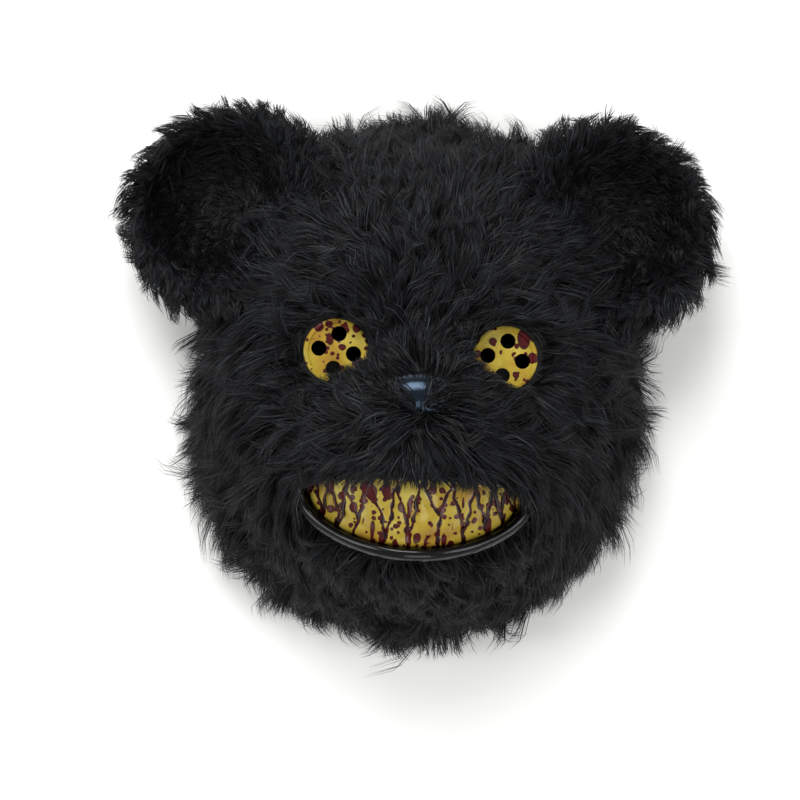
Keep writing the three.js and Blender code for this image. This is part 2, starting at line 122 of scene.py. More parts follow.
def computed(tree, kind, operation, *sources, **settings):
    """A Math or VectorMath node with its inputs linked in order."""
    node = add(tree, kind, operation=operation, **settings)
    for source, entry in zip(sources, node.inputs):
        tree.links.new(source, entry)
    return node


def ramped(tree, source, *stops):
    """A colour that follows a value through stops, given in order as position and hex colour."""
    node = add(tree, "ValToRGB", {"Fac": source})
    elements = node.color_ramp.elements
    while len(elements) < len(stops):
        elements.new(1.0)
    for element, (position, colour) in zip(elements, stops):
        element.position = position
        element.color = linear(colour)
    return node.outputs["Color"]


def blended(tree, factor, first, second):
    """A mix of two colours, each one given as a socket or a hex colour."""
    node = add(tree, "Mix", {"Factor": factor}, data_type="RGBA")
    for name, source in (("A", first), ("B", second)):
        if isinstance(source, str):
            socket(node.inputs, name).default_value = linear(source)
        else:
            tree.links.new(source, socket(node.inputs, name))
    return socket(node.outputs, "Result")


def show_surface(tree, links, **settings):
    """Gives a material its principled shader."""
    shader = add(tree, "BsdfPrincipled", links, **settings)
    output = next(n for n in tree.nodes if n.bl_idname == "ShaderNodeOutputMaterial")
    tree.links.new(shader.outputs["BSDF"], output.inputs["Surface"])


def middle_of(node):
    """The middle of a CAD node's box, and half its size."""
    low, high = (Vector(corner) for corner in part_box(node))
    return (low + high) / 2, (high - low) / 2


def tree_of(node):
    """A CAD node's faces, for casting rays at."""
    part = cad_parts[node]
    corners = [part.matrix_world @ v.co for v in part.data.vertices]
    return BVHTree.FromPolygons(corners, [tuple(p.vertices) for p in part.data.polygons])


shell_middle = middle_of("shell")[0]
eye_places = {side: middle_of("eye_" + side) for side in ("left", "right")}
lip_middle = middle_of("lip")[0]
nose_middle, nose_half = middle_of("nose")
face_heart = Vector((0, shell_middle.y - 4 * MM, 0.4 * MM))
outside = 400 * MM
plate_depth = 2.3 * MM
least_slope = 0.3
eye_surround = 8 * MM
rounds_to_settle = 400
last_rounds = 9


def face_skin(away, around=128, up=104):
    """The moulded face as one smooth open sheet, this far outside the shell, with no openings.

    Each point is where a ray from outside meets the shell, or the plate in the mouth. Over the eyes,
    where the shell is open, the points settle between their neighbours, and in the last rounds all do.
    """
    skin = bmesh.new()
    bmesh.ops.create_uvsphere(skin, u_segments=around, v_segments=up, radius=1)
    bmesh.ops.delete(skin, geom=[v for v in skin.verts if v.co.z < -1e-4], context="VERTS")
    shell, plate = tree_of("shell"), tree_of("teeth_plate")
    verts = list(skin.verts)
    reach = np.zeros(len(verts))
    open_here = np.zeros(len(verts), bool)
    for i, vert in enumerate(verts):
        out = vert.co.normalized()
        start = face_heart + out * outside
        hit, _, _, depth = shell.ray_cast(start, -out)
        behind, normal, _, plate_at = plate.ray_cast(start, -out)
        if behind and (hit is None or plate_at < depth):
            hit, depth = behind, plate_at - plate_depth / max(normal.dot(out), least_slope)
        reach[i] = outside - depth if hit else 100 * MM
        rise = max(out.z, 1e-3)
        for middle, half in eye_places.values():
            place = face_heart + out * (middle.z - face_heart.z) / rise
            if (place.xy - middle.xy).length < half.x + eye_surround:
                open_here[i] = True
        open_here[i] |= hit is None
    skin.verts.index_update()
    edges = np.array([[v.index for v in edge.verts] for edge in skin.edges])
    ends = np.concatenate([edges, edges[:, ::-1]])
    count = np.bincount(ends[:, 0], minlength=len(verts))
    rim = np.array([vert.co.z < 1e-4 for vert in verts])
    for turn in range(rounds_to_settle):
        settled = np.bincount(ends[:, 0], reach[ends[:, 1]], len(verts)) / count
        moving = (open_here | (turn >= rounds_to_settle - last_rounds)) & ~rim
        reach[moving] = settled[moving]
    for vert, distance in zip(verts, reach):
        vert.co = face_heart + vert.co.normalized() * distance
    skin.normal_update()
    for vert, on_rim in zip(verts, rim):
        normal = Vector((vert.normal.x, vert.normal.y, 0)).normalized() if on_rim else vert.normal
        vert.co += normal * away
    return skin


muzzle_middle = Vector((0, -60)) * MM
muzzle_reach = Vector((62, 40)) * MM
muzzle_terms_each = 7


def muzzle_terms(x, y):
    """The terms of a smooth surface round the mouth."""
    u = (x - muzzle_middle.x) / muzzle_reach.x
    v = (y - muzzle_middle.y) / muzzle_reach.y
    each = muzzle_terms_each
    return np.stack([u**i * v**j for i in range(each) for j in range(each - i)], axis=-1)


def fitted_muzzle():
    """The surface's factors, fitted to the shell, and to the plate behind it where the mouth is open."""
    shell, plate = tree_of("shell"), tree_of("teeth_plate")
    places, heights = [], []
    for x in np.linspace(-62, 62, 50) * MM:
        for y in np.linspace(-98, -24, 34) * MM:
            above = Vector((x, y, 300 * MM))
            hit, normal = shell.ray_cast(above, Vector((0, 0, -1)))[:2]
            rise = 0.0
            if hit is None:
                hit, normal = plate.ray_cast(above, Vector((0, 0, -1)))[:2]
                rise = plate_depth
            if hit is not None:
                places.append((x, y))
                heights.append(hit.z + rise / max(normal.z, least_slope))
    x, y = np.array(places).T
    return np.linalg.lstsq(muzzle_terms(x, y), np.array(heights), rcond=None)[0]


muzzle_factors = fitted_muzzle()


def muzzle(x, y, out=0.0):
    """Points this far out from the moulded face round the mouth, also over its opening."""
    step = 0.5 * MM
    height = muzzle_terms(x, y) @ muzzle_factors
    normal = np.stack(
        [
            (height - muzzle_terms(x + step, y) @ muzzle_factors) / step,
            (height - muzzle_terms(x, y + step) @ muzzle_factors) / step,
            np.ones_like(height),
        ],
        axis=-1,
    )
    normal /= np.linalg.norm(normal, axis=-1, keepdims=True)
    return np.stack([x, y, height], axis=-1) + normal * np.asarray(out)[..., None], normal


def in_order(mesh, name):
    """The same mesh with its faces in a fixed order, which the cuts leave to chance."""
    mesh.verts.index_update()
    faces = []
    for face in mesh.faces:
        corners = [vert.index for vert in face.verts]
        first = corners.index(min(corners))
        faces.append(tuple(corners[first:] + corners[:first]))
    made = bpy.data.meshes.new(name)
    made.from_pydata([vert.co[:] for vert in mesh.verts], [], sorted(faces))
    mesh.free()
    return made


def new_piece(name, mesh, material, stands_for=(), smooth=True):
    """A finished mesh as a piece of the mask, in its place at the origin."""
    if isinstance(mesh, bmesh.types.BMesh):
        made = bpy.data.meshes.new(name)
        mesh.to_mesh(made)
        mesh.free()
        mesh = made
    mesh.materials.append(material)
    if smooth:
        mesh.shade_smooth()
    piece = bpy.data.objects.new(name, mesh)
    bpy.context.collection.objects.link(piece)
    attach(piece, "root")
    if stands_for:
        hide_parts(*stands_for)
    return piece


# Black ABS sheet: a clear, slightly rippled reflection, as it shows where the fur parts.
shell_material, tree = new_material("vacuum_formed_black_abs")
place = add(tree, "TexCoord").outputs["Object"]
ripple = add(tree, "TexNoise", {"Vector": place}, Scale=1 / shell_ripple, Detail=2)
bump = add(tree, "Bump", {"Height": ripple.outputs["Fac"]}, Strength=0.12, Distance=0.1 * MM)
show_surface(
    tree,
    {"Normal": bump.outputs["Normal"]},
    Base_Color=linear(shell_colour),
    Roughness=0.22,
    IOR=1.53,
)
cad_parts["shell"].data.materials.clear()
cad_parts["shell"].data.materials.append(shell_material)


# Fur cover, backing. The real one is the knitted black backing of the fur fabric, cut in panels, sewn
# and glued over the shell, with openings at the eyes and the mouth. It hardly shows between the hairs.
hide_colour = "#0b0b0c"
hide_above = 1.8 * MM
hide_hem = 3.5 * MM
openings_above = 40 * MM
knit = 1.4 * MM
eye_opening = 18.4 * MM
mouth_half = 52 * MM
mouth_corner = -49 * MM
mouth_above = 8 * MM
mouth_below = 28 * MM
mouth_fullness = 2.1
lip_room = 3.2 * MM


def in_mouth(x, y, grown=lip_room):
    """How far from the mouth's middle, 1 at its outline grown by this much."""
    tall = np.where(y > mouth_corner, mouth_above, mouth_below) + grown
    across = np.abs(x / (mouth_half + grown)) ** mouth_fullness
    return (across + np.abs((y - mouth_corner) / tall) ** mouth_fullness) ** (1 / mouth_fullness)


def in_eye(x, y, side):
    """The same for an eye's opening."""
    middle = eye_places[side][0]
    return np.hypot(x - middle.x, y - middle.y) / eye_opening


def cut_opening(skin, share):
    """Removes the faces where share is under 1, and draws the edge left onto the opening's outline."""
    middles = {face: face.calc_center_median() for face in skin.faces}
    inside = [face for face, at in middles.items() if share(at.x, at.y) < 1 and at.z > openings_above]
    bmesh.ops.delete(skin, geom=inside, context="FACES")
    nudge = 0.01 * MM
    for vert in skin.verts:
        near = share(vert.co.x, vert.co.y)
        if vert.is_boundary and vert.co.z > openings_above and 0.7 < near < 1.3:
            at = vert.co.xy
            for _ in range(6):
                here = share(at.x, at.y)
                along_x = share(at.x + nudge, at.y) - here
                along_y = share(at.x, at.y + nudge) - here
                slope = Vector((along_x, along_y)) / nudge
                at = at + slope * (1 - here) / slope.length_squared
            vert.co.xy = at


hide = face_skin(hide_above)
bmesh.ops.bisect_plane(
    hide,
    geom=hide.verts[:] + hide.edges[:] + hide.faces[:],
    plane_co=(0, 0, hide_hem),
    plane_no=(0, 0, -1),
    clear_outer=True,
)
for side in eye_places:
    cut_opening(hide, lambda x, y, side=side: in_eye(x, y, side))
cut_opening(hide, in_mouth)
hide.normal_update()

# Black knit: dull and finely looped, so the gaps between wisps stay dark.
hide_material, tree = new_material("knitted_fur_backing")
place = add(tree, "TexCoord").outputs["Object"]
loops = add(tree, "TexVoronoi", {"Vector": place}, Scale=1 / knit)
bump = add(tree, "Bump", {"Height": loops.outputs["Distance"]}, Strength=0.5, Distance=0.4 * MM)
show_surface(
    tree,
    {"Normal": bump.outputs["Normal"]},
    Base_Color=linear(hide_colour),
    Roughness=0.95,
)


# Fur cover, hair. The real one is long-pile acrylic fur fabric, its hairs lying in wisps that are
# combed away from the nose: up over the forehead, outwards over the cheeks and down round the chin.
hair_width = 0.36 * MM
# Hair colours. The root colour is painted shade where the hairs lie under one another, and is also the
# darkest random tone. The glint is a painted highlight, a lighter grey on single hairs.
root_shade_and_dark_tone = "#030304"
hair_tips = "#0f1012"
painted_hair_glint = "#2f3135"
hairs_on_head = 112000
wisps_on_head = 5200
long_wisps = 0.05
long_wisp_growth = 1.35
most_lift = 1.6
hairs_round_eye = 900
eye_fringe = (16 * MM, 18.4 * MM)
eye_shown = 14.9 * MM
trims_over_eye = 9
trimmed_to = 0.87
thick_fringe = 1.5
fringe_ragged = 1.3 * MM
fringe_slack = 4 * MM
lift_over_lip = 6 * MM
cut_ragged = 0.8 * MM
floor_gap = (2.5 * MM, 4.5 * MM)
farthest_from_middle = 147 * MM
forehead_from, jaw_from = 34 * MM, -38 * MM

# Over the nose the hairs lie this far out, and spread by this much.
over_nose_gap = 0.6 * MM
over_nose_spread = 1.2 * MM

# Where the nose's tip shows: an ellipse twice as wide as it is high.
nose_shown = (-1.5 * MM, -2.8 * MM)
nose_shown_half = 3.9 * MM

# Strokes of the comb on the head: where, in mm from the middle of the mask, the way that the hair lies
# there in degrees from +X towards +Y, its length in mm and how much it stands up.
strokes = np.array(
    [
        # x, y, way, length, lift
        (0, 118, 92, 27, 1.4),
        (-44, 108, 120, 22, 1.1),
        (44, 108, 60, 22, 1.1),
        (0, 104, 92, 12, 0.4),
        (-8, 88, 98, 20, 0.6),
        (-34, 84, 128, 22, 0.7),
        (26, 84, 66, 22, 0.7),
        (-66, 66, 160, 24, 0.7),
        (60, 66, 22, 24, 0.7),
        (-30, 62, 140, 22, 0.7),
        (18, 60, 52, 22, 0.7),
        (-8, 50, 112, 20, 0.7),
        (-40, 40, 170, 22, 0.6),
        (36, 40, 8, 22, 0.6),
        (0, 26, 84, 17, 0.8),
        (-72, 22, 200, 26, 0.7),
        (72, 22, 340, 26, 0.7),
        (-14, 12, 130, 15, 0.6),
        (14, 12, 50, 15, 0.6),
        (-24, 3, 158, 24, 1.0),
        (-33, -4, 140, 20, 1.0),
        (24, 5, 15, 24, 1.0),
        (30, -5, 45, 22, 1.0),
        (-20, 0, 160, 21, 0.8),
        (20, 0, 20, 21, 0.8),
        (-30, -10, 158, 19, 0.8),
        (30, -10, 22, 19, 0.8),
        (-44, -12, 150, 15, 0.8),
        (44, -12, 300, 18, 0.6),
        (-24, -20, 205, 22, 0.6),
        (24, -20, 335, 22, 0.6),
        (0, -26, 270, 19, 0.5),
        (-22, -30, 255, 20, 0.5),
        (22, -30, 285, 20, 0.5),
        (-46, -34, 240, 24, 0.6),
        (46, -34, 292, 24, 0.6),
        (-60, -22, 215, 27, 0.7),
        (60, -22, 325, 27, 0.7),
        (-96, -8, 235, 30, 0.75),
        (96, -8, 305, 30, 0.75),
        (-66, -56, 235, 28, 0.7),
        (66, -56, 285, 28, 0.7),
        (-92, -52, 250, 31, 0.9),
        (92, -52, 290, 31, 0.8),
        (-42, -88, 245, 22, 0.6),
        (42, -88, 295, 22, 0.6),
        (-58, -104, 252, 32, 1.0),
        (56, -104, 288, 28, 0.8),
        (0, -86, 270, 15, 1.0),
        (-28, -80, 248, 15, 1.0),
        (28, -80, 292, 15, 1.0),
        (0, -98, 270, 20, 0.6),
        (0, -112, 270, 27, 1.1),
    ]
)
comb_back = 0.5
stroke_blend = 9 * MM
stroke_falloff = 1.6

# Where the fringe over the mouth ends, in mm.
fringe = np.array([(-58, -55), (-50, -51.5), (-38, -50), (0, -49), (26, -50), (42, -53), (54, -59)]) * MM

# What shows of each button eye: the fur covers it past a slanting line, given by the line's way inwards
# and down, and how far it is from the eye's middle in mm.
eye_cover = {"left": (1, 0.44, 0.9, 7.2), "right": (-1, 0.67, 0.74, 7.4)}


def scatter(mesh, count, dice):
    """Random points spread evenly over a mesh's faces, with their normals."""
    mesh.calc_loop_triangles()
    corners = np.empty(len(mesh.vertices) * 3)
    mesh.vertices.foreach_get("co", corners)
    corners = corners.reshape(-1, 3)
    normals = np.empty(len(mesh.vertices) * 3)
    mesh.vertices.foreach_get("normal", normals)
    normals = normals.reshape(-1, 3)
    triangles = np.empty(len(mesh.loop_triangles) * 3, int)
    mesh.loop_triangles.foreach_get("vertices", triangles)
    triangles = triangles.reshape(-1, 3)
    a, b, c = (corners[triangles[:, i]] for i in range(3))
    areas = np.linalg.norm(np.cross(b - a, c - a), axis=1)
    picked = triangles[dice.choice(len(triangles), count, p=areas / areas.sum())]
    u, v = dice.random((2, count, 1))
    u, v = np.where(u + v > 1, 1 - u, u), np.where(u + v > 1, 1 - v, v)
    shares = (1 - u - v, u, v)
    roots = sum(corners[picked[:, i]] * share for i, share in enumerate(shares))
    return roots, unit(sum(normals[picked[:, i]] * share for i, share in enumerate(shares)))


def unit(vectors):
    """Vectors made one long."""
    return vectors / np.maximum(np.linalg.norm(vectors, axis=-1, keepdims=True), 1e-9)


def along_surface(ways, normals):
    """Directions turned down onto the surface."""
    return unit(ways - normals * np.sum(ways * normals, axis=1, keepdims=True))


def combed(roots, normals):
    """The way, length and lift of the hair at each root, from the nearest strokes.

    Slow waves turn the way a little more, so that no stroke shows as a regular star.
    """
    offsets = roots[:, None, :2] - strokes[None, :, :2] * MM
    weight = 1 / (np.sum(offsets**2, axis=2) + stroke_blend**2) ** stroke_falloff
    weight /= weight.sum(axis=1, keepdims=True)
    angles = np.radians(strokes[:, 2])
    back = np.full(len(roots), -comb_back)
    ways = np.stack([weight @ np.cos(angles), weight @ np.sin(angles), back], axis=1)
    x, y = roots[:, 0] / MM, roots[:, 1] / MM
    stray = 0.5 * np.sin(x / 13 + 1.3 * np.sin(y / 19)) * np.cos(y / 11 + x / 31 + 0.7)
    ways[:, :2] += np.stack([-ways[:, 1], ways[:, 0]], axis=1) * stray[:, None]
    return along_surface(ways, normals), weight @ strokes[:, 3] * MM, weight @ strokes[:, 4]


def hair_lines(roots, normals, combing, wisps, dice, steps=3, wander=24, gather=0.55, wave=1.3 * MM):
    """Each hair as points from root to tip. Hairs lean towards the middle hair of their wisp.

    A wisp strays by about wander degrees, and gather is how closely its tips come together.
    """
    ways, lengths, lifts = combing(roots, normals)
    heads = dice.choice(len(roots), wisps, replace=False)
    tree = KDTree(wisps)
    for i, root in enumerate(roots[heads]):
        tree.insert(root, i)
    tree.balance()
    mine = np.array([tree.find(root)[1] for root in roots])
    turn = np.radians(dice.normal(0, wander, wisps))[mine] + np.radians(dice.normal(0, 9, len(roots)))
    sideways = np.cross(normals, ways)
    ways = ways * np.cos(turn)[:, None] + sideways * np.sin(turn)[:, None]
    lengths = lengths * dice.normal(1, 0.16, wisps).clip(0.6, 1.35)[mine]
    lengths *= dice.uniform(0.74, 1.14, len(roots))
    is_long = (dice.random(wisps) < long_wisps)[mine] & (normals[:, 2] < 0.75)
    lengths *= np.where(is_long, long_wisp_growth, 1)
    lifts = lifts * dice.normal(1, 0.3, wisps).clip(0.3, 1.8)[mine] * dice.uniform(0.7, 1.3, len(roots))
    lifts = np.minimum(lifts, most_lift)
    curl = (dice.normal(0, 0.22, wisps)[mine] + dice.normal(0, 0.1, len(roots)))[:, None]
    sideways = np.cross(normals, ways)
    phase = dice.uniform(0, 2 * math.pi, wisps)[mine][:, None]
    leader = heads[mine]
    lines = []
    for step in range(steps + 1):
        t = step / steps
        rise = (lifts * (t - 0.52 * t * t))[:, None] * lengths[:, None]
        run = (t * (1 - 0.18 * lifts))[:, None] * lengths[:, None]
        point = roots + ways * run + normals * rise + sideways * curl * lengths[:, None] * t * t
        point += sideways * wave * np.sin(phase + 5 * t) * t
        lines.append(point)
    lines = np.stack(lines, axis=1)
    pull = (gather * np.linspace(0, 1, steps + 1) ** 0.8)[None, :, None]
    spread = lines[leader] + (roots - roots[leader])[:, None, :] * (1 - pull)
    return lines * (1 - pull) + spread * pull


def hair_mesh(name, lines, normals, width, dice, painted_light_share=1.0):
    """Flat tapering hairs as one joined mesh. The last argument is how much painted glint each hair may
    get, and low values paint the hair darker instead, as painted shade.

    Their map runs along each hair, one thin strip to a hair.
    """
    count, points = lines.shape[:2]
    tangents = unit(np.gradient(lines, axis=1))
    facing = unit(normals + dice.normal(0, 0.45, normals.shape))
    across = unit(np.cross(tangents, facing[:, None, :]))
    taper = np.array([0.8, 1, 0.8, 0.5, 0.3])[: points - 1]
    half = width / 2 * dice.uniform(0.7, 1.25, (count, 1, 1)) * taper[None, :, None]
    edges = [lines[:, :-1] + across[:, :-1] * half * way for way in (-1, 1)]
    body = np.stack(edges, axis=2)
    verts = np.concatenate([body.reshape(count, -1, 3), lines[:, -1:]], axis=1)
    each = verts.shape[1]
    faces = []
    for step in range(points - 2):
        low = 2 * step
        faces += [(low, low + 1, low + 3), (low, low + 3, low + 2)]
    faces.append((each - 3, each - 2, each - 1))
    faces = np.array(faces)
    whole = (faces[None] + (np.arange(count) * each)[:, None, None]).reshape(-1, 3)
    mesh = bpy.data.meshes.new(name)
    mesh.from_pydata(verts.reshape(-1, 3), [], whole)
    margin = 0.002
    half_strip = 0.0004
    strip = dice.random((count, 1)) * np.reshape(painted_light_share, (-1, 1))
    share = np.append(np.repeat(np.arange(points - 1) / (points - 1), 2), 1.0)
    side = np.append(np.tile([-1.0, 1.0], points - 1), 0.0) * half_strip
    u = (margin + (1 - 2 * margin) * strip + side[None, :]).reshape(-1)
    v = np.broadcast_to(margin + (1 - 2 * margin) * share, (count, each)).reshape(-1)
    corner = whole.reshape(-1)
    made = np.stack([u[corner], v[corner]], axis=1)
    mesh.uv_layers.new(name="OFBake").data.foreach_set("uv", made.reshape(-1))
    return mesh


def above_floor(lines, dice):
    """Keeps the hairs off what the mask lies on."""
    lines[:, :, 2] = np.maximum(lines[:, :, 2], dice.uniform(*floor_gap, lines.shape[:2]))


def over_nose(lines, dice):
    """Lifts the hairs that cross the nose onto it."""
    half = np.array(nose_half) + over_nose_gap
    far = np.sum(((lines[..., :2] - np.array(nose_middle.xy)) / half[:2]) ** 2, axis=2)
    top = nose_middle.z + half[2] * np.sqrt(np.maximum(1 - far, 0))
    top = top + dice.uniform(0, over_nose_spread, far.shape)
    lines[..., 2] = np.where(far < 1, np.maximum(lines[..., 2], top), lines[..., 2])


def over_lip(lines, roots, dice):
    """Trims the hairs that hang over the mouth to a ragged fringe, and lifts them over the lip."""
    tips = lines[:, -1]
    end = np.interp(tips[:, 0], *fringe.T) + dice.normal(0, fringe_ragged, len(roots))
    over = (roots[:, 1] > end) & (tips[:, 1] < end) & (in_mouth(tips[:, 0], tips[:, 1]) < 1.1)
    share = np.where(over, (roots[:, 1] - end) / np.maximum(roots[:, 1] - tips[:, 1], 1e-6), 1)
    lines[:] = roots[:, None] + (lines - roots[:, None]) * share[:, None, None]
    x, y = lines[..., 0], lines[..., 1]
    near = (in_mouth(x, y, 4 * MM) < 1) & (y > lip_middle.y)
    x, y = np.clip(x, -60 * MM, 60 * MM), np.clip(y, -95 * MM, -26 * MM)
    surface, normal = muzzle(x, y)
    clear = surface[..., 2] + lift_over_lip / normal[..., 2]
    lines[..., 2] = np.where(near, np.maximum(lines[..., 2], clear), lines[..., 2])


def over_eye(lines, side, ragged):
    """Which points of the hairs lie on the part of an eye that shows, past a cut as ragged as given."""
    middle = eye_places[side][0]
    inward, across, down, depth = eye_cover[side]
    x, y = (lines[:, 1:, 0] - middle.x) * inward, lines[:, 1:, 1] - middle.y
    covered = across * x - down * y + ragged > depth * MM
    return (np.hypot(x, y) < eye_shown) & ~covered


def clear_of_features(lines, roots, dice):
    """Which hairs leave the eyes, the nose's tip and the teeth showing. Those over an eye are trimmed."""
    keep = np.ones(len(lines), bool)
    ragged = dice.normal(0, cut_ragged, (len(lines), 1))
    for side in eye_places:
        for _ in range(trims_over_eye):
            over = over_eye(lines, side, ragged).any(axis=1)
            lines[over] = roots[over, None] + (lines[over] - roots[over, None]) * trimmed_to
        keep &= ~over_eye(lines, side, ragged).any(axis=1)
        keep &= in_eye(roots[:, 0], roots[:, 1], side) * eye_opening > eye_fringe[0]
    x, y = lines[:, :, 0] - nose_shown[0], lines[:, :, 1] - nose_shown[1]
    keep &= np.all(np.hypot(x / 2, y) + ragged > nose_shown_half, axis=1)
    x, y = lines[:, 1:, 0], lines[:, 1:, 1]
    end = np.interp(x, *fringe.T) - fringe_slack
    keep &= ~np.any((in_mouth(x, y, 1 * MM) < 1) & (y < end), axis=1)
    keep &= in_mouth(roots[:, 0], roots[:, 1]) > 1
    keep &= np.abs(lines[:, :, 1]).max(axis=1) < farthest_from_middle
    return keep


# Acrylic fibre is smooth and a little waxy, and its black is nearly flat. Each hair's colour is painted
# darker towards its root, as painted shade under the pile. Some hairs are painted a darker tone at
# random, and in the ears' hollows darker still, as painted shade. Others get a lighter grey, a painted
# glint on single hairs.
fur_material, tree = new_material("acrylic_long_pile_fur")
strip = add(tree, "UVMap", uv_map="OFBake").outputs["UV"]
parts = add(tree, "SeparateXYZ", {"Vector": strip})
along = ramped(tree, parts.outputs["Y"], (0, root_shade_and_dark_tone), (0.85, hair_tips))
# Hairs with a low map value are painted darker. Over the head this is a random darker tone, and in the
# ears' hollows it is painted shade.
black = add(tree, "MapRange", {"Value": parts.outputs["X"]}, From_Max=0.4, To_Min=0.75, To_Max=0.0)
dark_tone_and_hollow_shade = blended(tree, black.outputs["Result"], along, root_shade_and_dark_tone)
# Hairs with a high map value are painted a lighter grey: a painted glint, not one from the lamps.
glint = add(tree, "MapRange", {"Value": parts.outputs["X"]}, From_Min=0.55, From_Max=1.0, To_Max=0.9)
show_surface(
    tree,
    {"Base Color": blended(tree, glint.outputs["Result"], dark_tone_and_hollow_shade, painted_hair_glint)},
    Roughness=0.45,
    IOR=1.5,
    Specular_IOR_Level=0.12,
)

hide_made = in_order(hide, "fur_backing")
hide_piece = new_piece("fur_backing", hide_made, hide_material, ["fur_cover"])
dice = np.random.default_rng(11)
roots, normals = scatter(hide_piece.data, hairs_on_head, dice)
over_mouth = (in_mouth(roots[:, 0], roots[:, 1]) < thick_fringe) & (roots[:, 1] > mouth_corner)
beside = roots[over_mouth] + dice.normal(0, 1, (over_mouth.sum(), 3)) * (MM, MM, 0)
roots, normals = np.concatenate([roots, beside]), np.concatenate([normals, normals[over_mouth]])
for middle, half in eye_places.values():
    angle = dice.uniform(0, 2 * math.pi, hairs_round_eye)
    far = dice.uniform(*eye_fringe, hairs_round_eye)
    ring = np.stack([np.cos(angle) * far + middle.x, np.sin(angle) * far + middle.y], axis=1)
    ring = np.column_stack([ring, np.full(hairs_round_eye, middle.z + half.z)])
    roots = np.concatenate([roots, ring])
    normals = np.concatenate([normals, np.tile([0.0, 0.0, 1.0], (hairs_round_eye, 1))])
lines = hair_lines(roots, normals, combed, wisps_on_head, dice)
over_nose(lines, dice)
over_lip(lines, roots, dice)
above_floor(lines, dice)
kept = clear_of_features(lines, roots, dice)
up = roots[:, 1]
zones = {
    "fur_forehead": up > forehead_from,
    "fur_cheeks": (up <= forehead_from) & (up > jaw_from),
    "fur_jaw": up <= jaw_from,
}
for name, here in zones.items():
    here = here & kept
    made = hair_mesh(name, lines[here], normals[here], hair_width, dice)
    new_piece(name, made, fur_material, smooth=False)


# Ears. Each real one is two cupped panels of the same fur over a pad of polyester wadding, sewn to the
# head cover along its base and left soft, so that the two don't sit quite alike.
ear_across = {"left": -91 * MM, "right": 86 * MM}
ear_up = 75 * MM
ear_height = 36 * MM
ear_radius = 50 * MM
ear_tilt = math.radians(10)
ear_section = [(0, -0.27), (0.3, -0.265), (0.55, -0.22), (0.8, -0.1), (0.95, 0.05), (0.985, 0.17)]
ear_section += [(0.93, 0.28), (0.82, 0.3), (0.64, 0.17), (0.42, -0.03), (0.2, -0.12), (0, -0.15)]
ear_hollow_out = {"left": 13 * MM, "right": 9 * MM}
ear_slump = 1.6 * MM
ear_seat = 0.6 * MM
ear_join = 2.5 * MM
hairs_on_ear = 27000
wisps_on_ear = 1300

hide_tree = BVHTree.FromObject(hide_piece, bpy.context.evaluated_depsgraph_get())


def rounded(section):
    """A section with a point put between each two, on the curve through their neighbours."""
    points = np.array([section[1], *section, section[-2]]) * [[-1, 1]] + 0.0
    points[1:-1] = section
    between = (9 * (points[1:-2] + points[2:-1]) - points[:-3] - points[3:]) / 16
    pairs = np.stack([points[1:-2], between], axis=1).reshape(-1, 2)
    return [tuple(point) for point in pairs] + [section[-1]]


def turned(section, steps):
    """A section, as distances from the Z axis with heights, turned once round it and closed."""
    mesh = bmesh.new()
    ends = [mesh.verts.new((0, 0, section[i][1])) for i in (0, -1)]
    rings = []
    for out, rise in section[1:-1]:
        angles = [2 * math.pi * i / steps for i in range(steps)]
        rings.append([mesh.verts.new((out * math.cos(a), out * math.sin(a), rise)) for a in angles])
    for i in range(steps):
        j = (i + 1) % steps
        mesh.faces.new((ends[0], rings[0][j], rings[0][i]))
        for one, two in zip(rings, rings[1:]):
            mesh.faces.new((one[i], one[j], two[j], two[i]))
        mesh.faces.new((rings[-1][i], rings[-1][j], ends[1]))
    mesh.normal_update()
    return mesh


def ear_comb(heart, face, swirl):
    """The way, length and lift of an ear's hair: round and outwards, over the rim, down the back."""

    def ear_combed(roots, normals):
        radial = roots - heart
        radial -= face * (radial @ face)[:, None]
        far = np.linalg.norm(radial, axis=1) / ear_radius
        front = (normals @ face) > 0.2
        radial = unit(radial)
        round_it = np.cross(face, radial) * swirl
        inner = radial * 0.8 + round_it * 0.6
        outer = radial * 0.35 + round_it * 0.55 - face * 0.8
        ways = along_surface(np.where(front[:, None], inner, outer), normals)
        lengths = np.where(front, 7 + 7 * far * far, 18) * MM
        lifts = np.where(front, 0.35 + 0.25 * far, 0.75)
        return ways, lengths, lifts

    return ear_combed


